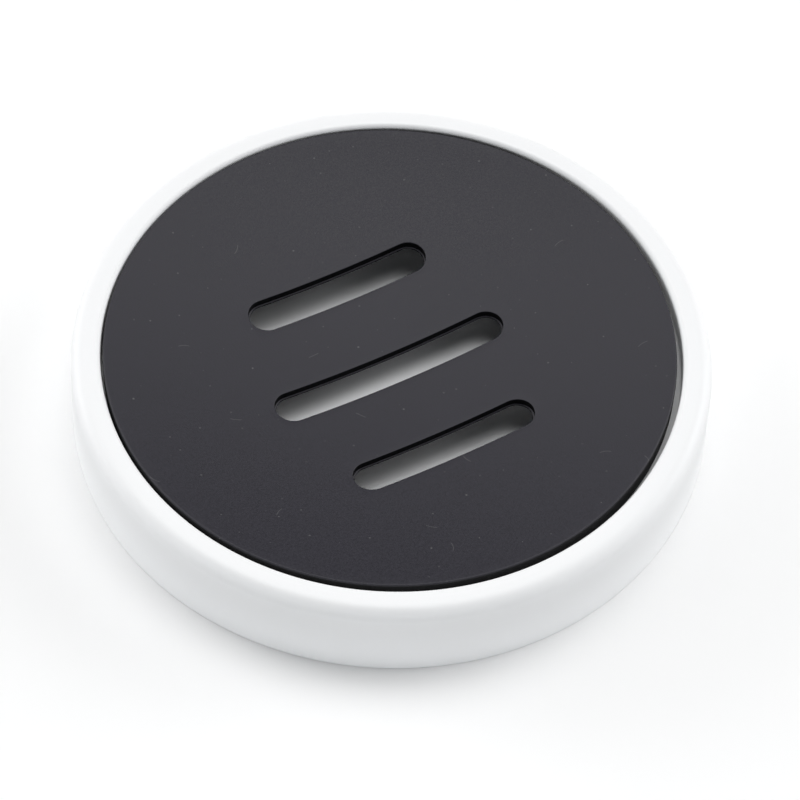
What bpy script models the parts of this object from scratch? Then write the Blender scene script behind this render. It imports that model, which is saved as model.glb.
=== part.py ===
"""Round soap dish with a loose, dished drain plate.

Units are metres and +Z is up. The origin is on the floor, at the middle of the dish.
The plate's slots run along X.
"""
import math

import bmesh
import bpy
from mathutils import Matrix, Vector

# Dish
RIM_RADIUS = 0.0579          # outside radius where the wall meets the rounded rim
RIM_WIDTH = 0.0053           # from the outside to the round opening
WALL_FLARE = 0.0004          # how much wider the wall is at its foot
RIM_OUTER_ROUND = 0.0021
RIM_INNER_ROUND = 0.0009
FOOT_ROUND = 0.0004
BASIN_FLOOR = 0.0022         # thickness of the floor of the basin
BASIN_CLEARANCE = 0.0043     # from that floor up to the lowest point of the plate
BASIN_FILLET = 0.0030

# Drain plate
PLATE_GAP = 0.00065          # between the plate's edge and the opening
PLATE_THICKNESS = 0.0020
PLATE_LIE = math.radians(117)  # the direction from X in which the loose plate lies off centre
PLATE_RECESS = 0.0001        # the plate's edge lies this far under the rim top
PLATE_SAG = 0.0075           # how deep the top is dished at the middle
PLATE_EDGE_ROUND = 0.0005
PLATE_FOOT_WIDTH = 0.0018    # flat ring under the plate's edge
PLATE_FOOT_DROP = 0.0040     # from the plate's top edge down to that ring

# Slots
SLOT_WIDTH = 0.0064
SLOT_PITCH = 0.0203
MIDDLE_SLOT_LENGTH = 0.0463
OUTER_SLOT_LENGTH = 0.0361

# Pads under the dish
PAD_RADIUS = 0.0050
PAD_THICKNESS = 0.0012
PAD_STANDOFF = 0.0002        # how far the pads hold the dish off the floor
PAD_INSET = 0.0143           # from the dish's foot to the middle of a pad
PAD_COUNT = 4
PAD_ROUND = 0.0002

SEATED_GAP = 0.0003          # between two pieces that touch
CUT_OVERSHOOT = 0.0020       # how far a cutter runs past the faces it cuts

TURN_STEPS = 96
PAD_STEPS = 32
SLOT_STEPS = 24              # sides of the two round ends of a slot together
DISH_STEPS = 10              # points along the plate's dished faces
SMOOTH_ANGLE = math.radians(32)

CERAMIC_COLOUR = (0.88, 0.88, 0.87, 1.0)
PLATE_COLOUR = (0.048, 0.046, 0.049, 1.0)
PAD_COLOUR = (0.30, 0.30, 0.30, 1.0)

FOOT_RADIUS = RIM_RADIUS + WALL_FLARE
OPENING_RADIUS = RIM_RADIUS - RIM_WIDTH
PLATE_RADIUS = OPENING_RADIUS - PLATE_GAP
PLATE_SHIFT = PLATE_GAP / 2  # the loose plate lies halfway over to one side
PLATE_X = PLATE_SHIFT * math.cos(PLATE_LIE)
PLATE_Y = PLATE_SHIFT * math.sin(PLATE_LIE)
DISH_BASE = PAD_STANDOFF
BASIN_HEIGHT = DISH_BASE + BASIN_FLOOR
PLATE_EDGE_TOP = BASIN_HEIGHT + BASIN_CLEARANCE + PLATE_THICKNESS + PLATE_SAG
RIM_TOP = PLATE_EDGE_TOP + PLATE_RECESS
SEAT_HEIGHT = PLATE_EDGE_TOP - PLATE_FOOT_DROP - SEATED_GAP
BASIN_RADIUS = PLATE_RADIUS - PLATE_FOOT_WIDTH + PLATE_SHIFT
PAD_CENTRE_RADIUS = FOOT_RADIUS - PAD_INSET


def clear_scene():
    for item in list(bpy.data.objects):
        bpy.data.objects.remove(item, do_unlink=True)


def new_collection(name):
    group = bpy.data.collections.new(name)
    bpy.context.scene.collection.children.link(group)
    return group


def new_material(name, colour, roughness):
    material = bpy.data.materials.new(name)
    material.use_nodes = True
    shader = material.node_tree.nodes["Principled BSDF"]
    shader.inputs["Base Color"].default_value = colour
    shader.inputs["Roughness"].default_value = roughness
    shader.inputs["Metallic"].default_value = 0.0
    return material


def mesh_object(name, mesh, group):
    item = bpy.data.objects.new(name, mesh)
    group.objects.link(item)
    return item


def rounded_outline(corners, arc_steps=4):
    """Outline points from (radius, height, rounding) corners, each rounding drawn as an arc."""
    points = []
    for index, (x, z, rounding) in enumerate(corners):
        here = Vector((x, z))
        if rounding == 0.0:
            points.append(here)
            continue
        before = (Vector(corners[index - 1][:2]) - here).normalized()
        after = (Vector(corners[index + 1][:2]) - here).normalized()
        half = before.angle(after) / 2
        reach = rounding / math.tan(half)
        centre = here + (before + after).normalized() * (rounding / math.sin(half))
        start = here + before * reach - centre
        turn = start.angle_signed(here + after * reach - centre)
        for step in range(arc_steps + 1):
            points.append(centre + rotated(start, turn * step / arc_steps))
    return points


def rotated(vector, angle):
    """The 2D vector turned clockwise by the angle, as angle_signed measures it."""
    return Matrix.Rotation(-angle, 2) @ vector


def turned(name, outline, steps, group):
    """A closed body turned round Z from an outline that runs down its outer side."""
    mesh = bpy.data.meshes.new(name)
    verts = [(point.x, 0.0, point.y) for point in outline]
    mesh.from_pydata(verts, [(i, i + 1) for i in range(len(verts) - 1)], [])
    item = mesh_object(name, mesh, group)
    screw = item.modifiers.new("Turn", "SCREW")
    screw.axis = "Z"
    screw.steps = steps
    screw.render_steps = steps
    screw.use_merge_vertices = True
    screw.merge_threshold = 0.00001
    return item


def finish_piece(item, material):
    """Bake the modifiers that shape the piece, then shade it smooth and give it its material."""
    evaluated = item.evaluated_get(bpy.context.evaluated_depsgraph_get())
    shaped = bpy.data.meshes.new_from_object(evaluated)
    item.modifiers.clear()
    item.data = shaped
    shaped.shade_smooth()
    shaped.set_sharp_from_angle(angle=SMOOTH_ANGLE)
    shaped.materials.clear()
    shaped.materials.append(material)


def cut(item, cutter):
    boolean = item.modifiers.new("Cut " + cutter.name, "BOOLEAN")
    boolean.operation = "DIFFERENCE"
    boolean.solver = "EXACT"
    boolean.object = cutter


def hide_cutter(cutter):
    cutter.hide_render = True
    cutter.display_type = "WIRE"


def pad_places():
    for index in range(PAD_COUNT):
        angle = math.tau * (index + 0.5) / PAD_COUNT
        yield index + 1, PAD_CENTRE_RADIUS * math.cos(angle), PAD_CENTRE_RADIUS * math.sin(angle)


def dish_outline():
    """Half section of the dish, from the basin floor's middle over the rim to the underside's middle."""
    corners = [
        (0.0, BASIN_HEIGHT, 0.0),
        (BASIN_RADIUS, BASIN_HEIGHT, BASIN_FILLET),
        (BASIN_RADIUS, SEAT_HEIGHT, 0.0),
        (OPENING_RADIUS, SEAT_HEIGHT, 0.0),
        (OPENING_RADIUS, RIM_TOP, RIM_INNER_ROUND),
        (RIM_RADIUS, RIM_TOP, RIM_OUTER_ROUND),
        (FOOT_RADIUS, DISH_BASE, FOOT_ROUND),
        (0.0, DISH_BASE, 0.0),
    ]
    return rounded_outline(corners)


def make_dish(parts, cutters, material):
    dish = turned("base_dish", dish_outline(), TURN_STEPS, parts)
    depth = PAD_THICKNESS - PAD_STANDOFF + SEATED_GAP
    for number, x, y in pad_places():
        bpy.ops.mesh.primitive_cylinder_add(
            vertices=PAD_STEPS,
            radius=PAD_RADIUS + SEATED_GAP,
            depth=depth + CUT_OVERSHOOT,
            location=(x, y, DISH_BASE + (depth - CUT_OVERSHOOT) / 2),
        )
        cutter = bpy.context.active_object
        cutter.name = "pad_recess_%d" % number
        move_to(cutter, cutters)
        hide_cutter(cutter)
        cut(dish, cutter)
    finish_piece(dish, material)


def move_to(item, group):
    for old in list(item.users_collection):
        old.objects.unlink(item)
    group.objects.link(item)


def dished_height(radius):
    """How far the plate's top lies under its edge, on a sphere through edge and middle."""
    sphere = (PLATE_RADIUS ** 2 + PLATE_SAG ** 2) / (2 * PLATE_SAG)
    return math.sqrt(sphere ** 2 - radius ** 2) - (sphere - PLATE_SAG)


def plate_outline():
    """Half section of the plate about its own axis, with its top edge at height 0."""
    top = [(PLATE_RADIUS * i / DISH_STEPS, -dished_height(PLATE_RADIUS * i / DISH_STEPS), 0.0)
           for i in range(DISH_STEPS)]
    foot_inner = PLATE_RADIUS - PLATE_FOOT_WIDTH
    rim = [
        (PLATE_RADIUS, 0.0, PLATE_EDGE_ROUND),
        (PLATE_RADIUS, -PLATE_FOOT_DROP, PLATE_EDGE_ROUND),
        (foot_inner, -PLATE_FOOT_DROP, 0.0),
    ]
    under = [(foot_inner * i / DISH_STEPS, -dished_height(foot_inner * i / DISH_STEPS) - PLATE_THICKNESS, 0.0)
             for i in range(DISH_STEPS - 1, -1, -1)]
    return rounded_outline(top + rim + under, arc_steps=2)


def slot_cutter(name, length, y, group):
    """A round-ended prism along X, tall enough to pass through the plate."""
    bar = bmesh.new()
    half_step = math.pi / SLOT_STEPS
    radius = SLOT_WIDTH / 2 / math.cos(half_step)
    bmesh.ops.create_cone(bar, cap_ends=True, segments=SLOT_STEPS, radius1=radius, radius2=radius,
                          depth=2 * (PLATE_SAG + CUT_OVERSHOOT) + PLATE_THICKNESS,
                          matrix=Matrix.Rotation(half_step, 4, "Z"))
    half_straight = (length - SLOT_WIDTH) / 2
    for vert in bar.verts:
        vert.co.x += math.copysign(half_straight, vert.co.x)
    mesh = bpy.data.meshes.new(name)
    bar.to_mesh(mesh)
    bar.free()
    cutter = mesh_object(name, mesh, group)
    cutter.location = (PLATE_X, PLATE_Y + y, PLATE_EDGE_TOP - PLATE_SAG)
    hide_cutter(cutter)
    return cutter


def make_plate(parts, cutters, material):
    axis = bpy.data.objects.new("plate_lift_axis", None)
    axis.location = (PLATE_X, PLATE_Y, PLATE_EDGE_TOP)
    parts.objects.link(axis)
    plate = turned("drain_plate", plate_outline(), TURN_STEPS, parts)
    plate.parent = axis
    slots = [("slot_back", OUTER_SLOT_LENGTH, SLOT_PITCH),
             ("slot_middle", MIDDLE_SLOT_LENGTH, 0.0),
             ("slot_front", OUTER_SLOT_LENGTH, -SLOT_PITCH)]
    for name, length, y in slots:
        cut(plate, slot_cutter(name, length, y, cutters))
    finish_piece(plate, material)


def make_pads(parts, material):
    outline = rounded_outline([
        (0.0, PAD_THICKNESS, 0.0),
        (PAD_RADIUS, PAD_THICKNESS, PAD_ROUND),
        (PAD_RADIUS, 0.0, PAD_ROUND),
        (0.0, 0.0, 0.0),
    ], arc_steps=2)
    for number, x, y in pad_places():
        pad = turned("foot_pad_%d" % number, outline, PAD_STEPS, parts)
        pad.location = (x, y, 0.0)
        finish_piece(pad, material)


def build():
    clear_scene()
    parts = new_collection("soap_dish")
    cutters = new_collection("cutters")
    make_dish(parts, cutters, new_material("white_ceramic", CERAMIC_COLOUR, 0.38))
    make_plate(parts, cutters, new_material("charcoal_plate", PLATE_COLOUR, 0.55))
    make_pads(parts, new_material("pad_rubber", PAD_COLOUR, 0.80))


build()
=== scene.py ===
"""Looks of the round soap dish: a satin white dish, a matte charcoal drain plate and grey rubber pads.

Lengths are metres in the CAD model's frame: Z is up, the floor is at 0 and the plate's slots run along X.
"""
import math

import bmesh
import bpy
from mathutils import Matrix, Vector
from mathutils.geometry import delaunay_2d_cdt


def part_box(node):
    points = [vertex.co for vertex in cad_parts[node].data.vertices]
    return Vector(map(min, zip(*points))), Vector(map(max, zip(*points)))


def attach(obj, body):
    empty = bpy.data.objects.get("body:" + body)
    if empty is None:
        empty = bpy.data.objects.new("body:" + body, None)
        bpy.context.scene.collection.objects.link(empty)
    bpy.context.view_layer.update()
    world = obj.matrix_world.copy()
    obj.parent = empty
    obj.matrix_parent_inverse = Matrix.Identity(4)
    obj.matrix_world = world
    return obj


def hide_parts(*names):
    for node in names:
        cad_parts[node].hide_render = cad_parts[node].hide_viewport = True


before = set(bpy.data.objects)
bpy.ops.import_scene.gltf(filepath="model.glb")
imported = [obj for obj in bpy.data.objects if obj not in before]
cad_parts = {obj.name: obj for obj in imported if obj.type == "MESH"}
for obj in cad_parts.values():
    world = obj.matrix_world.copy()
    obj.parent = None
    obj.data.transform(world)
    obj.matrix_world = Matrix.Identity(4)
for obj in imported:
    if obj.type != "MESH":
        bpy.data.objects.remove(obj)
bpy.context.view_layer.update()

# Places and sizes read from the frame
dish_low, dish_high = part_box("base_dish")
plate_low, plate_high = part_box("drain_plate")
DISH_BASE = dish_low.z
RIM_TOP = dish_high.z
FOOT_RADIUS = (dish_high.x - dish_low.x) / 2
PLATE_TRIM = 0.0001          # the photograph's plate is this much smaller in radius
PLATE_LIE = 1.35             # and lies this many times as far from the dish's middle
PLATE_RADIUS = (plate_high.x - plate_low.x) / 2 - PLATE_TRIM
PLATE_CENTRE = (plate_low + plate_high) / 2 * PLATE_LIE
PLATE_EDGE_TOP = plate_high.z

# Section of the dish
WALL_FLARE = 0.0004
RIM_RADIUS = FOOT_RADIUS - WALL_FLARE
RIM_WIDTH = 0.0053
RIM_OUTER_ROUND = 0.0026
RIM_INNER_ROUND = 0.0009
FOOT_ROUND = 0.00015
FOOT_CLEARANCE = 0.00005     # the skirt's edge comes down almost to the floor, round the pads
FOOT_LIP_WIDTH = 0.0016
BASIN_FLOOR = 0.0022
BASIN_RADIUS = 0.0505
BASIN_FILLET = 0.0030
SEAT_DEPTH = 0.0044          # from the rim's top down to the ledge that carries the plate
SEAT_ROUND = 0.0003
DISH_STEPS = 256

# Section of the plate, measured down from its top edge
PLATE_SAG = 0.00725
PLATE_THICKNESS = 0.00195
PLATE_EDGE_ROUND = 0.0005
PLATE_FOOT_WIDTH = 0.0018
PLATE_FOOT_DROP = 0.0040
PLATE_FOOT_ROUND = 0.0003
PLATE_STEPS = 256
PLATE_GRID = 0.0018          # spacing of the points that fill the dished faces
GRID_MARGIN = 0.6            # share of that spacing that the points keep from the rings
TRIANGLE_TOLERANCE = 1e-9

# Slots
SLOT_WIDTH = 0.00655
SLOT_PITCH = 0.0203
SLOT_SHIFT = 0.00012         # all slots lie this far along X from the plate's middle
MIDDLE_SLOT_LENGTH = 0.0465
OUTER_SLOT_LENGTH = 0.0363
SLOT_LIP = 0.00015
SLOT_BEAD = 0.00028          # the thin moulding line that runs round each slot's wall
SLOT_BEAD_ROUND = 0.9        # share of the line's width that is rounded off
SLOT_BEAD_TOP = 0.00125
SLOT_BEAD_HEIGHT = 0.00025
SLOT_UNDER_LIP = 0.0001
SLOT_END_STEPS = 20
SLOT_SIDE_STEP = 0.0016
SLOT_ROUND_STEPS = 5
SLOT_INSIDE = 0.999          # share of the ring's spread within which a triangle counts as in the slot

# Pads
PAD_ROUND = 0.0003
PAD_STEPS = 72
PAD_ROUND_STEPS = 4
PAD_RECESS_GAP = 0.0003

ROUND_STEPS = 8
MERGE_DISTANCE = 1e-6
SMOOTH_ANGLE = math.radians(35)

# Camera: angles, distance and aim that were fitted to the photograph's rim, plate and slots
CAMERA_AZIMUTH = math.radians(-31.159)
CAMERA_ELEVATION = math.radians(53.343)
CAMERA_ROLL = math.radians(3.068)
CAMERA_DISTANCE = 0.5939
CAMERA_AIM = Vector((-0.00221, -0.00725, 0.0099))
CAMERA_LENS = 148.0
CAMERA_SENSOR = 36.0
CAMERA_CLIP_START = 0.01

NEUTRAL = (1.0, 1.0, 1.0)
COOL = (0.975, 1.0, 1.02)

# Softboxes, in degrees as the camera sees them: turn from the back towards the left, height over the
# floor, half width and half height; then strength and colour
SOFTBOXES = {
    "overhead": (-18, 74, 18, 19, 2.4, NEUTRAL),
    "overhead_wide": (-8, 75, 33, 10, 1.9, NEUTRAL),
    "left": (62, 16, 14, 10, 7.2, NEUTRAL),
    "left_high": (60, 45, 20, 12, 1.2, NEUTRAL),
    "left_tall": (46, 23, 20, 35, 0.75, NEUTRAL),
    "right": (-61, 20, 18, 16, 4.3, NEUTRAL),
    "right_high": (-72, 31, 20, 9, 1.6, NEUTRAL),
    "front": (182, 17, 20, 7, 3.1, COOL),
    "front_wide": (149, 24, 50, 8, 1.2, COOL),
    "front_right": (-120, 30, 25, 14, 0.4, COOL),
}
SOFTBOX_EDGE = 0.25          # half the width of each soft edge, as a tangent
SOFTBOX_LEAST_AHEAD = 0.001  # keeps the division finite off to the side of a box
SOFTBOX_FULL_AHEAD = 0.1     # nothing shows from behind a box, and all of it from this far ahead
FLOOR_SIZE = 40.0

# Colours
WHITE = (0.875, 0.881, 0.888)
CHARCOAL = (0.0165, 0.0155, 0.0230)
# Painted shade: the blacker colour of the plate's steep cut walls, in the slots and round the edge
CHARCOAL_WALL_SHADE = (0.0080, 0.0080, 0.0090)
RUBBER = (0.30, 0.30, 0.305)
DUST = (0.36, 0.36, 0.35)
FLOOR = (0.973, 0.973, 0.973)

# Finish: gloss is the specular level, and roughness goes from the first value to the second with the grain
GRAIN_HEIGHTS = (0.2, 0.8)
GRAIN_DEPTH = 0.00003
WHITE_GLOSS = 0.45
WHITE_ROUGHNESS = (0.38, 0.50)
WHITE_PEEL_DEPTH = 0.000004
# Painted light and shade on the white wall: its colour is paler at the foot and darker up towards the rim
WALL_PAINTED_LIGHT_HEIGHTS = (0.0005, 0.0120)
WALL_PAINTED_LIGHT_TONES = (1.06, 0.935)
RIM_PAINTED_LIGHT_HEIGHTS = (0.0130, 0.0162)
RIM_PAINTED_LIGHT_TONES = (0.0, 0.075)     # painted light over the rim, added to the wall's painted tone
CHARCOAL_GLOSS = 0.44
CHARCOAL_ROUGHNESS = (0.49, 0.63)
CUT_ROUGHNESS = 0.85
CUT_SLOPES = (0.75, 0.30)    # upward share of the normal where a cut wall's roughness and painted shade begin, and where they are full
SLOT_SHADE_ZONE = (0.003, 0.002)    # the slot walls' painted shade, metallic that takes off their pale gloss, fades out this far inside the plate's edge
DUST_STRENGTH = 0.20
LINT_STRENGTH = 0.10
RUBBER_GLOSS = 0.30
RUBBER_ROUGHNESS = (0.78, 0.92)
SPECK_SIZES = (0.5, 1.3)     # least and greatest share of a speck's given radius

NUMBER = "NodeSocketFloat"
VECTOR = "NodeSocketVector"


def rounded_outline(corners, steps=ROUND_STEPS):
    """Points of an outline from (radius, height, rounding) corners, each rounding drawn as an arc."""
    points = []
    for index, (x, z, rounding) in enumerate(corners):
        here = Vector((x, z))
        if rounding == 0.0:
            points.append(here)
            continue
        before = (Vector(corners[index - 1][:2]) - here).normalized()
        after = (Vector(corners[index + 1][:2]) - here).normalized()
        half = before.angle(after) / 2
        centre = here + (before + after).normalized() * (rounding / math.sin(half))
        start = here + before * (rounding / math.tan(half)) - centre
        end = here + after * (rounding / math.tan(half)) - centre
        turn = start.angle_signed(end)
        for step in range(steps + 1):
            points.append(centre + Matrix.Rotation(-turn * step / steps, 2) @ start)
    return points


def turned_body(outline, steps):
    """A closed body turned round Z from an outline that starts and ends on the axis."""
    body = bmesh.new()
    verts = [body.verts.new((point.x, 0.0, point.y)) for point in outline]
    edges = [body.edges.new(pair) for pair in zip(verts, verts[1:])]
    bmesh.ops.spin(body, geom=verts + edges, cent=(0, 0, 0), axis=(0, 0, 1), angle=math.tau, steps=steps,
                   use_merge=True, use_duplicate=False)
    bmesh.ops.remove_doubles(body, verts=body.verts, dist=MERGE_DISTANCE)
    bmesh.ops.recalc_face_normals(body, faces=body.faces)
    return body


def piece(name, body, material, rides_on, slot_name, *replaced):
    """Make an object from the bmesh, shade it smooth, and put it in the CAD nodes' place."""
    mesh = bpy.data.meshes.new(name)
    body.to_mesh(mesh)
    body.free()
    item = bpy.data.objects.new(name, mesh)
    bpy.context.scene.collection.objects.link(item)
    mesh.materials.append(material)
    mesh.shade_smooth()
    mesh.set_sharp_from_angle(angle=SMOOTH_ANGLE)
    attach(item, rides_on)
    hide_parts(*replaced)
    return item


def pad_nodes():
    """Names of the CAD's pads, in order."""
    return sorted(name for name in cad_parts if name.startswith("foot_pad"))


def dish_corners():
    """Half section of the dish, from the basin floor's middle over the rim to the underside's middle."""
    opening = RIM_RADIUS - RIM_WIDTH
    basin = DISH_BASE + BASIN_FLOOR
    seat = RIM_TOP - SEAT_DEPTH
    return [
        (0.0, basin, 0.0),
        (BASIN_RADIUS, basin, BASIN_FILLET),
        (BASIN_RADIUS, seat, SEAT_ROUND),
        (opening, seat, SEAT_ROUND),
        (opening, RIM_TOP, RIM_INNER_ROUND),
        (RIM_RADIUS, RIM_TOP, RIM_OUTER_ROUND),
        (FOOT_RADIUS, FOOT_CLEARANCE, FOOT_ROUND),
        (FOOT_RADIUS - FOOT_LIP_WIDTH, FOOT_CLEARANCE, 0.0),
        (FOOT_RADIUS - FOOT_LIP_WIDTH, DISH_BASE, 0.0),
        (0.0, DISH_BASE, 0.0),
    ]


def make_dish(material):
    """The white dish, turned and then drilled with a shallow recess for each pad."""
    dish = piece("white_dish", turned_body(rounded_outline(dish_corners()), DISH_STEPS), material,
                 "base", "dish_white", "base_dish")
    for node in pad_nodes():
        low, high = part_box(node)
        top = high.z + PAD_RECESS_GAP
        radius = (high.x - low.x) / 2 + PAD_RECESS_GAP
        drill = bmesh.new()
        bmesh.ops.create_cone(drill, cap_ends=True, segments=PAD_STEPS, radius1=radius, radius2=radius,
                              depth=2 * top)
        mesh = bpy.data.meshes.new("drill")
        drill.to_mesh(mesh)
        drill.free()
        cutter = bpy.data.objects.new("drill", mesh)
        cutter.location = ((low.x + high.x) / 2, (low.y + high.y) / 2, 0.0)
        bpy.context.scene.collection.objects.link(cutter)
        cut(dish, cutter)
    dish.data.shade_smooth()
    dish.data.set_sharp_from_angle(angle=SMOOTH_ANGLE)
    return dish


def cut(item, cutter):
    """Take the cutter out of the item, and then drop the cutter."""
    boolean = item.modifiers.new("Drill", "BOOLEAN")
    boolean.operation = "DIFFERENCE"
    boolean.solver = "EXACT"
    boolean.object = cutter
    shaped = bpy.data.meshes.new_from_object(item.evaluated_get(bpy.context.evaluated_depsgraph_get()))
    item.modifiers.clear()
    item.data = shaped
    bpy.data.objects.remove(cutter)


def dished(x, y):
    """Height of the plate's top at a place, from its edge, on a sphere through edge and middle."""
    sphere = (PLATE_RADIUS ** 2 + PLATE_SAG ** 2) / (2 * PLATE_SAG)
    return sphere - PLATE_SAG - math.sqrt(sphere ** 2 - x * x - y * y)


def slot_sizes():
    """Length of each slot and its place across the plate."""
    return [(OUTER_SLOT_LENGTH, SLOT_PITCH), (MIDDLE_SLOT_LENGTH, 0.0), (OUTER_SLOT_LENGTH, -SLOT_PITCH)]


def slot_ring(length, across, spread):
    """Points round a slot's outline, spread outwards from its wall."""
    straight = (length - SLOT_WIDTH) / 2
    radius = SLOT_WIDTH / 2 + spread
    side_steps = round(2 * straight / SLOT_SIDE_STEP)
    points = []
    for side in (1, -1):
        for step in range(SLOT_END_STEPS + 1):
            angle = math.pi * (step / SLOT_END_STEPS - side / 2)
            points.append((SLOT_SHIFT + side * straight + radius * math.cos(angle),
                           across + radius * math.sin(angle)))
        for step in range(1, side_steps):
            points.append((SLOT_SHIFT + side * (straight - 2 * straight * step / side_steps),
                           across + side * radius))
    return points


def slot_section():
    """A slot's wall from the plate's top to its underside, as (spread from the wall, depth) points."""
    clear = 2 * SLOT_LIP
    bead_bottom = SLOT_BEAD_TOP + SLOT_BEAD_HEIGHT
    corners = [
        (clear, 0.0, 0.0),
        (0.0, 0.0, SLOT_LIP),
        (0.0, -SLOT_BEAD_TOP, 0.0),
        (-SLOT_BEAD, -SLOT_BEAD_TOP, SLOT_BEAD * SLOT_BEAD_ROUND),
        (-SLOT_BEAD, -bead_bottom, 0.0),
        (0.0, -bead_bottom, 0.0),
        (0.0, -PLATE_THICKNESS, SLOT_UNDER_LIP),
        (clear, -PLATE_THICKNESS, 0.0),
    ]
    return [(point.x, -point.y) for point in rounded_outline(corners, SLOT_ROUND_STEPS)[1:-1]]


def slot_distance(x, y):
    """Distance from the nearest slot's wall, negative inside the slot."""
    gaps = []
    for length, across in slot_sizes():
        past_end = max(abs(x - SLOT_SHIFT) - (length - SLOT_WIDTH) / 2, 0.0)
        gaps.append(math.hypot(past_end, y - across) - SLOT_WIDTH / 2)
    return min(gaps)


def circle_ring(radius):
    """Points round the plate's middle."""
    return [(radius * math.cos(math.tau * i / PLATE_STEPS), radius * math.sin(math.tau * i / PLATE_STEPS))
            for i in range(PLATE_STEPS)]


def add_ring(body, points, height):
    """Vertices over the points, at the height that the function gives."""
    return [body.verts.new((x, y, height(x, y))) for x, y in points]


def bridge(body, upper, lower):
    """Faces between two rings of as many vertices, turned the same way round."""
    count = len(upper)
    for i in range(count):
        after = (i + 1) % count
        body.faces.new((upper[i], upper[after], lower[after], lower[i]))


def grid_points(reach, slot_margin):
    """Points of a triangular grid inside a circle and clear of the slots."""
    row_step = PLATE_GRID * math.sqrt(3) / 2
    rows = int(reach / row_step) + 1
    for row in range(-rows, rows + 1):
        y = row * row_step
        shift = PLATE_GRID / 2 * (row % 2)
        for column in range(-rows, rows + 1):
            x = column * PLATE_GRID + shift
            if math.hypot(x, y) < reach and slot_distance(x, y) > slot_margin:
                yield x, y


def fill_face(body, rim, slots, slot_spread, height):
    """Triangles over a dished face, from its outer ring to the rings round its slots."""
    ringed = [rim] + slots
    margin = PLATE_GRID * GRID_MARGIN
    reach = math.hypot(rim[0].co.x, rim[0].co.y) - margin
    loose = add_ring(body, grid_points(reach, slot_spread + margin), height)
    verts = [vert for ring in ringed for vert in ring] + loose
    edges = []
    start = 0
    for ring in ringed:
        edges += [(start + i, start + (i + 1) % len(ring)) for i in range(len(ring))]
        start += len(ring)
    flat = [Vector(vert.co.xy) for vert in verts]
    found = delaunay_2d_cdt(flat, edges, [], 0, TRIANGLE_TOLERANCE)
    source = [group[0] for group in found[3]]
    for triangle in found[2]:
        corners = [verts[source[i]] for i in triangle]
        middle = sum((vert.co for vert in corners), Vector()) / 3
        if slot_distance(middle.x, middle.y) > slot_spread * SLOT_INSIDE:
            body.faces.new(corners)


def plate_top(depth):
    """The height function of a face that lies the depth under the plate's dished top."""
    return lambda x, y: dished(x, y) - depth


def edge_rings(body):
    """Rings down the plate's outer edge, under its foot ring and back up to the dished underside."""
    quarter = [math.pi / 2 * step / ROUND_STEPS for step in range(ROUND_STEPS + 1)]
    rings = []
    for angle in quarter:
        radius = PLATE_RADIUS - PLATE_EDGE_ROUND * (1 - math.sin(angle))
        depth = PLATE_EDGE_ROUND * (1 - math.cos(angle))
        rings.append(add_ring(body, circle_ring(radius), plate_top(depth)))
    for angle in reversed(quarter):
        radius = PLATE_RADIUS - PLATE_FOOT_ROUND * (1 - math.sin(angle))
        level = -PLATE_FOOT_DROP + PLATE_FOOT_ROUND * (1 - math.cos(angle))
        rings.append(add_ring(body, circle_ring(radius), lambda x, y: level))
    foot_inner = PLATE_RADIUS - PLATE_FOOT_WIDTH
    rings.append(add_ring(body, circle_ring(foot_inner), lambda x, y: -PLATE_FOOT_DROP))
    rings.append(add_ring(body, circle_ring(foot_inner - PLATE_FOOT_ROUND), plate_top(PLATE_THICKNESS)))
    return rings


def make_plate(material):
    """The dished plate: a top and an underside, a rounded edge with a foot ring, and three slots."""
    body = bmesh.new()
    rings = edge_rings(body)
    for upper, lower in zip(rings, rings[1:]):
        bridge(body, upper, lower)

    slot_tops = []
    slot_bottoms = []
    section = slot_section()
    for length, across in slot_sizes():
        walls = [add_ring(body, slot_ring(length, across, spread), plate_top(depth))
                 for spread, depth in section]
        for upper, lower in zip(walls, walls[1:]):
            bridge(body, lower, upper)
        slot_tops.append(walls[0])
        slot_bottoms.append(walls[-1])

    fill_face(body, rings[0], slot_tops, section[0][0], plate_top(0.0))
    fill_face(body, rings[-1], slot_bottoms, section[-1][0], plate_top(PLATE_THICKNESS))
    bmesh.ops.recalc_face_normals(body, faces=body.faces)
    place = Vector((PLATE_CENTRE.x, PLATE_CENTRE.y, PLATE_EDGE_TOP))
    bmesh.ops.translate(body, verts=body.verts, vec=place)
    return piece("charcoal_plate", body, material, "plate", "plate_charcoal", "drain_plate")


def make_pads(material):
    """The four flat pads, each turned with a softened edge."""
    for node in pad_nodes():
        low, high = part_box(node)
        radius = (high.x - low.x) / 2
        corners = [(0.0, high.z, 0.0), (radius, high.z, PAD_ROUND),
                   (radius, low.z, PAD_ROUND), (0.0, low.z, 0.0)]
        body = turned_body(rounded_outline(corners, PAD_ROUND_STEPS), PAD_STEPS)
        bmesh.ops.translate(body, verts=body.verts, vec=((low.x + high.x) / 2, (low.y + high.y) / 2, 0.0))
        piece(node.replace("foot_pad", "rubber_pad"), body, material, "base", "pad_rubber", node)


def add_node(tree, kind, inputs=None, **settings):
    """Add a node; each of its inputs gets a value or another node's output."""
    node = tree.nodes.new(kind)
    for name, value in settings.items():
        setattr(node, name, value)
    for name, value in (inputs or {}).items():
        if isinstance(value, bpy.types.NodeSocket):
            tree.links.new(value, node.inputs[name])
        else:
            node.inputs[name].default_value = value
    return node


def maths(tree, operation, first, second=0.0):
    """One step of arithmetic."""
    return add_node(tree, "ShaderNodeMath", {0: first, 1: second}, operation=operation).outputs[0]


def fade(tree, value, start, end, low=0.0, high=1.0):
    """A smooth change from low to high as the value goes from start to end."""
    inputs = {"Value": value, "From Min": start, "From Max": end, "To Min": low, "To Max": high}
    return add_node(tree, "ShaderNodeMapRange", inputs, interpolation_type="SMOOTHSTEP").outputs["Result"]


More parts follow.
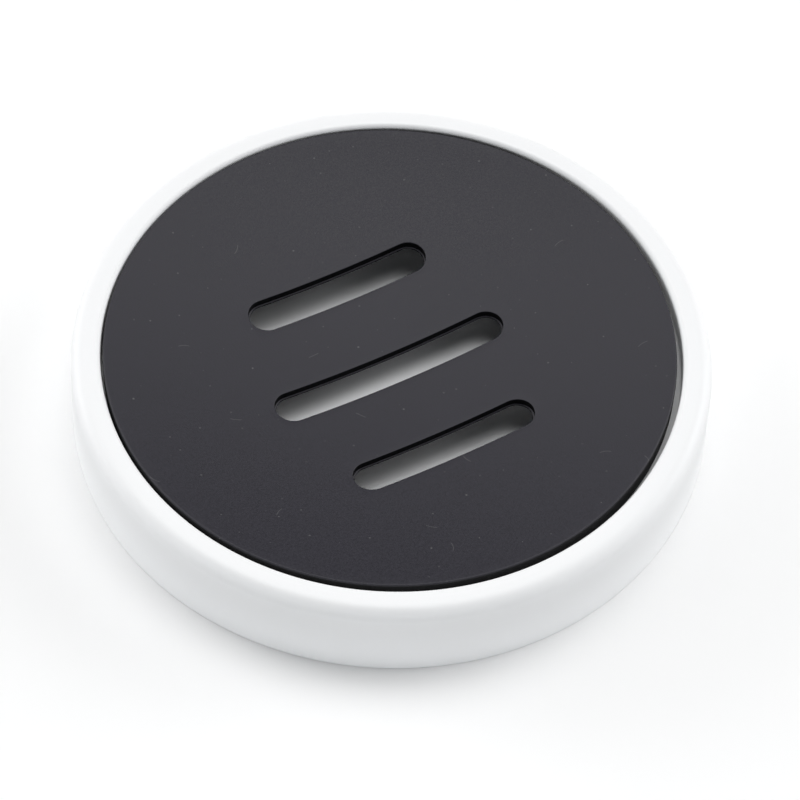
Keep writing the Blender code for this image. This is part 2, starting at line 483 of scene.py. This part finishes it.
def blend_colour(tree, share, first, second):
    """The first colour, going over to the second by the share; a colour may be a value or a socket."""
    mix = add_node(tree, "ShaderNodeMix", data_type="RGBA")
    tree.links.new(share, mix.inputs[0])
    for socket, value in ((mix.inputs[6], first), (mix.inputs[7], second)):
        if isinstance(value, bpy.types.NodeSocket):
            tree.links.new(value, socket)
        else:
            socket.default_value = (*value, 1.0)
    return mix.outputs[2]


def shaded_colour(tree, colour, tone):
    """A colour made lighter or darker by the tone."""
    scaled = add_node(tree, "ShaderNodeVectorMath", {0: colour, "Scale": tone}, operation="SCALE")
    return scaled.outputs[0]


def new_group(name, inputs, outputs):
    """A node group with named sockets; gives its tree, its inner inputs and its inner outputs."""
    tree = bpy.data.node_groups.new(name, "ShaderNodeTree")
    for title, kind in inputs.items():
        tree.interface.new_socket(name=title, in_out="INPUT", socket_type=kind)
    for title in outputs:
        tree.interface.new_socket(name=title, in_out="OUTPUT", socket_type=NUMBER)
    given = tree.nodes.new("NodeGroupInput").outputs
    made = tree.nodes.new("NodeGroupOutput").inputs
    return tree, given, made


def make_grain_group():
    """A fine even grain of one size: a height from 0 to 1, and a tone that varies round 1."""
    tree, given, made = new_group("fine_grain", {"Place": VECTOR, "Size": NUMBER, "Contrast": NUMBER},
                                  ("Height", "Tone"))
    scale = maths(tree, "DIVIDE", 1.0, given["Size"])
    noise = add_node(tree, "ShaderNodeTexNoise", {"Vector": given["Place"], "Scale": scale, "Detail": 2.0,
                                                  "Roughness": 0.6})
    height = noise.outputs[0]
    tree.links.new(height, made["Height"])
    swing = maths(tree, "MULTIPLY", maths(tree, "SUBTRACT", height, 0.5), given["Contrast"])
    tree.links.new(maths(tree, "ADD", swing, 1.0), made["Tone"])
    return tree


def cell_parts(tree, place, cell):
    """Flat cells of a given size: the distance from the cell's middle, the way from it, and random numbers."""
    scale = maths(tree, "DIVIDE", 1.0, cell)
    cells = add_node(tree, "ShaderNodeTexVoronoi", {"Vector": place, "Scale": scale}, voronoi_dimensions="2D")
    chance = add_node(tree, "ShaderNodeSeparateColor", {"Color": cells.outputs["Color"]}).outputs
    middle = cells.outputs["Position"]
    away = add_node(tree, "ShaderNodeVectorMath", {0: place, 1: middle}, operation="SUBTRACT")
    distance = maths(tree, "MULTIPLY", cells.outputs["Distance"], cell)
    return distance, away.outputs[0], chance


def make_dust_group():
    """Sparse round specks of dust: at most one in each cell, of random size and strength."""
    tree, given, made = new_group("dust_specks", {"Place": VECTOR, "Cell": NUMBER, "Radius": NUMBER,
                                                  "Share": NUMBER}, ("Mask",))
    distance, _, chance = cell_parts(tree, given["Place"], given["Cell"])
    radius = maths(tree, "MULTIPLY", given["Radius"], fade(tree, chance["Green"], 0.0, 1.0, *SPECK_SIZES))
    inside = fade(tree, maths(tree, "DIVIDE", distance, radius), 1.0, 0.4)
    present = maths(tree, "LESS_THAN", chance["Red"], given["Share"])
    strength = maths(tree, "POWER", chance["Blue"], 2.0)
    tree.links.new(maths(tree, "MULTIPLY", maths(tree, "MULTIPLY", inside, present), strength), made["Mask"])
    return tree


def make_lint_group():
    """Short curved fibres of lint: at most one in each cell, each turned and bent its own way."""
    tree, given, made = new_group("lint_fibres", {"Place": VECTOR, "Cell": NUMBER, "Length": NUMBER,
                                                  "Width": NUMBER, "Share": NUMBER}, ("Mask",))
    _, away, chance = cell_parts(tree, given["Place"], given["Cell"])
    angle = maths(tree, "MULTIPLY", chance["Green"], math.tau)
    turned = add_node(tree, "ShaderNodeVectorRotate", {"Vector": away, "Angle": angle}, rotation_type="Z_AXIS")
    along = add_node(tree, "ShaderNodeSeparateXYZ", {0: turned.outputs[0]}).outputs
    share_along = maths(tree, "DIVIDE", along["X"], given["Length"])
    bend = maths(tree, "MULTIPLY", maths(tree, "SUBTRACT", chance["Blue"], 0.5), given["Length"])
    arc = maths(tree, "MULTIPLY", maths(tree, "MULTIPLY", share_along, share_along), bend)
    off_line = maths(tree, "ABSOLUTE", maths(tree, "SUBTRACT", along["Y"], arc))
    thin = fade(tree, maths(tree, "DIVIDE", off_line, given["Width"]), 1.0, 0.3)
    ends = fade(tree, maths(tree, "ABSOLUTE", share_along), 0.5, 0.4)
    present = maths(tree, "LESS_THAN", chance["Red"], given["Share"])
    tree.links.new(maths(tree, "MULTIPLY", maths(tree, "MULTIPLY", thin, ends), present), made["Mask"])
    return tree


def use_group(tree, group, **inputs):
    """Put a node group into a material, and give its outputs."""
    node = tree.nodes.new("ShaderNodeGroup")
    node.node_tree = group
    for name, value in inputs.items():
        if isinstance(value, bpy.types.NodeSocket):
            tree.links.new(value, node.inputs[name])
        else:
            node.inputs[name].default_value = value
    return node.outputs


def new_material(name, specular):
    """A material with nodes: gives it, its tree, its shader's inputs and the object's own coordinates."""
    material = bpy.data.materials.new(name)
    material.use_nodes = True
    tree = material.node_tree
    shader = tree.nodes["Principled BSDF"].inputs
    shader["Specular IOR Level"].default_value = specular
    coordinates = tree.nodes.new("ShaderNodeTexCoord").outputs
    return material, tree, shader, coordinates


def bump(tree, shader, height, depth):
    """Raise and lower the surface by the height, over the given depth."""
    raised = add_node(tree, "ShaderNodeBump", {"Height": height, "Distance": depth})
    tree.links.new(raised.outputs[0], shader["Normal"])


def white_material(grain):
    """Satin white: a faint cloudiness, a fine orange peel, and painted light that makes it slightly paler at
    the foot and over the rim.
    """
    material, tree, shader, coordinates = new_material("satin_white", WHITE_GLOSS)
    place = coordinates["Object"]
    clouds = use_group(tree, grain, Place=place, Size=0.018, Contrast=0.020)
    peel = use_group(tree, grain, Place=place, Size=0.0011, Contrast=0.010)
    height = add_node(tree, "ShaderNodeSeparateXYZ", {0: place}).outputs["Z"]
    # Painted light and shade by height: paler at the foot, darker up the wall
    lower = fade(tree, height, *WALL_PAINTED_LIGHT_HEIGHTS, *WALL_PAINTED_LIGHT_TONES)
    # Painted light: the rim's top and rounding are made paler
    upper = fade(tree, height, *RIM_PAINTED_LIGHT_HEIGHTS, *RIM_PAINTED_LIGHT_TONES)
    tone = maths(tree, "MULTIPLY", maths(tree, "MULTIPLY", clouds["Tone"], peel["Tone"]),
                 maths(tree, "ADD", lower, upper))
    tree.links.new(shaded_colour(tree, WHITE, tone), shader["Base Color"])
    tree.links.new(fade(tree, clouds["Height"], *GRAIN_HEIGHTS, *WHITE_ROUGHNESS), shader["Roughness"])
    bump(tree, shader, peel["Height"], WHITE_PEEL_DEPTH)
    return material


def charcoal_material(grain, dust, lint):
    """Matte charcoal: a fine grain, dust and lint on the dished top, and rougher cut walls with painted shade
    that makes them blacker.
    """
    material, tree, shader, coordinates = new_material("matte_charcoal", CHARCOAL_GLOSS)
    place = coordinates["Object"]
    fine = use_group(tree, grain, Place=place, Size=0.00040, Contrast=0.90)
    clouds = use_group(tree, grain, Place=place, Size=0.010, Contrast=0.10)
    specks = use_group(tree, dust, Place=place, Cell=0.0040, Radius=0.00020, Share=0.6)
    fibres = use_group(tree, lint, Place=place, Cell=0.019, Length=0.0022, Width=0.00012, Share=0.5)
    upright = add_node(tree, "ShaderNodeSeparateXYZ", {0: coordinates["Normal"]}).outputs["Z"]
    walls = fade(tree, maths(tree, "ABSOLUTE", upright), *CUT_SLOPES)
    tone = maths(tree, "MULTIPLY", fine["Tone"], clouds["Tone"])
    matte = shaded_colour(tree, CHARCOAL, tone)
    dusted = maths(tree, "MAXIMUM", maths(tree, "MULTIPLY", specks["Mask"], DUST_STRENGTH),
                   maths(tree, "MULTIPLY", fibres["Mask"], LINT_STRENGTH))
    topped = blend_colour(tree, dusted, matte, DUST)
    # Painted shade: the steep cut walls, in the slots and round the edge, get the blacker colour
    tree.links.new(blend_colour(tree, walls, topped, CHARCOAL_WALL_SHADE), shader["Base Color"])
    # Painted shade: metallic takes the pale gloss off the slots' cut walls, so that they show no reflection,
    # and leaves it on the plate's outer edge
    flat_place = add_node(tree, "ShaderNodeVectorMath", {0: place, 1: (1.0, 1.0, 0.0)}, operation="MULTIPLY")
    from_middle = add_node(tree, "ShaderNodeVectorMath", {0: flat_place.outputs[0]}, operation="LENGTH")
    radius = from_middle.outputs["Value"]
    slot_shade_share = fade(tree, radius, PLATE_RADIUS - SLOT_SHADE_ZONE[0], PLATE_RADIUS - SLOT_SHADE_ZONE[1], 1.0, 0.0)
    tree.links.new(maths(tree, "MULTIPLY", walls, slot_shade_share), shader["Metallic"])
    grained = fade(tree, fine["Height"], *GRAIN_HEIGHTS, *CHARCOAL_ROUGHNESS)
    cut_rough = maths(tree, "MULTIPLY", walls, CUT_ROUGHNESS)
    tree.links.new(maths(tree, "MAXIMUM", grained, cut_rough), shader["Roughness"])
    bump(tree, shader, fine["Height"], GRAIN_DEPTH)
    return material


def rubber_material(grain, dust):
    """Grey rubber: matte, lightly mottled and dusty."""
    material, tree, shader, coordinates = new_material("grey_rubber", RUBBER_GLOSS)
    place = coordinates["Object"]
    fine = use_group(tree, grain, Place=place, Size=0.00030, Contrast=0.30)
    clouds = use_group(tree, grain, Place=place, Size=0.0030, Contrast=0.25)
    specks = use_group(tree, dust, Place=place, Cell=0.0012, Radius=0.00009, Share=0.5)
    tone = maths(tree, "MULTIPLY", fine["Tone"], clouds["Tone"])
    tree.links.new(blend_colour(tree, specks["Mask"], shaded_colour(tree, RUBBER, tone), DUST),
                   shader["Base Color"])
    tree.links.new(fade(tree, fine["Height"], *GRAIN_HEIGHTS, *RUBBER_ROUGHNESS), shader["Roughness"])
    bump(tree, shader, fine["Height"], GRAIN_DEPTH)
    return material


def floor_material():
    """Plain pale and quite matte."""
    material, _, shader, _ = new_material("pale_floor", specular=0.0)
    shader["Base Color"].default_value = (*FLOOR, 1.0)
    shader["Roughness"].default_value = 1.0
    return material


def make_floor():
    """A plain pale floor under the dish."""
    body = bmesh.new()
    bmesh.ops.create_grid(body, x_segments=1, y_segments=1, size=FLOOR_SIZE / 2)
    mesh = bpy.data.meshes.new("floor")
    body.to_mesh(mesh)
    body.free()
    floor = bpy.data.objects.new("floor", mesh)
    bpy.context.scene.collection.objects.link(floor)
    mesh.materials.append(floor_material())


def along_axis(tree, direction, axis):
    """How far the direction goes along the axis."""
    product = add_node(tree, "ShaderNodeVectorMath", {0: direction, 1: axis}, operation="DOT_PRODUCT")
    return product.outputs["Value"]


def softbox(tree, direction, turn, height, half_width, half_height, strength, colour):
    """Light from one soft-edged rectangle of the sky, as a colour."""
    axes = (Matrix.Rotation(CAMERA_AZIMUTH + math.radians(turn), 3, "Z")
            @ Matrix.Rotation(math.radians(height), 3, "X"))
    across, ahead, above = (along_axis(tree, direction, axes.col[i]) for i in range(3))
    facing = maths(tree, "MAXIMUM", ahead, SOFTBOX_LEAST_AHEAD)
    lit = fade(tree, ahead, 0.0, SOFTBOX_FULL_AHEAD, 0.0, strength)
    for offset, half_angle in ((across, half_width), (above, half_height)):
        edge = math.tan(math.radians(half_angle))
        share = maths(tree, "DIVIDE", maths(tree, "ABSOLUTE", offset), facing)
        lit = maths(tree, "MULTIPLY", lit, fade(tree, share, edge + SOFTBOX_EDGE, edge - SOFTBOX_EDGE))
    return shaded_colour(tree, colour, lit)


def light_scene():
    """Soft studio light: softboxes overhead, at both sides and low in front, added up in the world."""
    world = bpy.data.worlds.new("studio")
    bpy.context.scene.world = world
    world.use_nodes = True
    tree = world.node_tree
    direction = tree.nodes.new("ShaderNodeTexCoord").outputs["Generated"]
    total = (0.0, 0.0, 0.0)
    for box in SOFTBOXES.values():
        light = softbox(tree, direction, *box)
        total = add_node(tree, "ShaderNodeVectorMath", {0: light, 1: total}, operation="ADD").outputs[0]
    tree.links.new(total, tree.nodes["Background"].inputs["Color"])


def place_camera():
    """The camera stands where the photograph's did, with its small roll."""
    camera = bpy.data.cameras.new("photo_camera")
    camera.lens = CAMERA_LENS
    camera.sensor_width = CAMERA_SENSOR
    camera.clip_start = CAMERA_CLIP_START
    item = bpy.data.objects.new("photo_camera", camera)
    bpy.context.scene.collection.objects.link(item)
    turn = Matrix.Rotation(CAMERA_AZIMUTH, 4, "Z")
    tip = Matrix.Rotation(math.pi / 2 - CAMERA_ELEVATION, 4, "X")
    roll = Matrix.Rotation(CAMERA_ROLL, 4, "Z")
    away = Matrix.Translation((0.0, 0.0, CAMERA_DISTANCE))
    item.matrix_world = Matrix.Translation(CAMERA_AIM) @ turn @ tip @ away @ roll
    bpy.context.scene.camera = item


place_camera()
light_scene()
make_floor()
grain_group = make_grain_group()
dust_group = make_dust_group()
lint_group = make_lint_group()
make_dish(white_material(grain_group))
make_plate(charcoal_material(grain_group, dust_group, lint_group))
make_pads(rubber_material(grain_group, dust_group))

bpy.context.scene.view_settings.view_transform = "Standard"
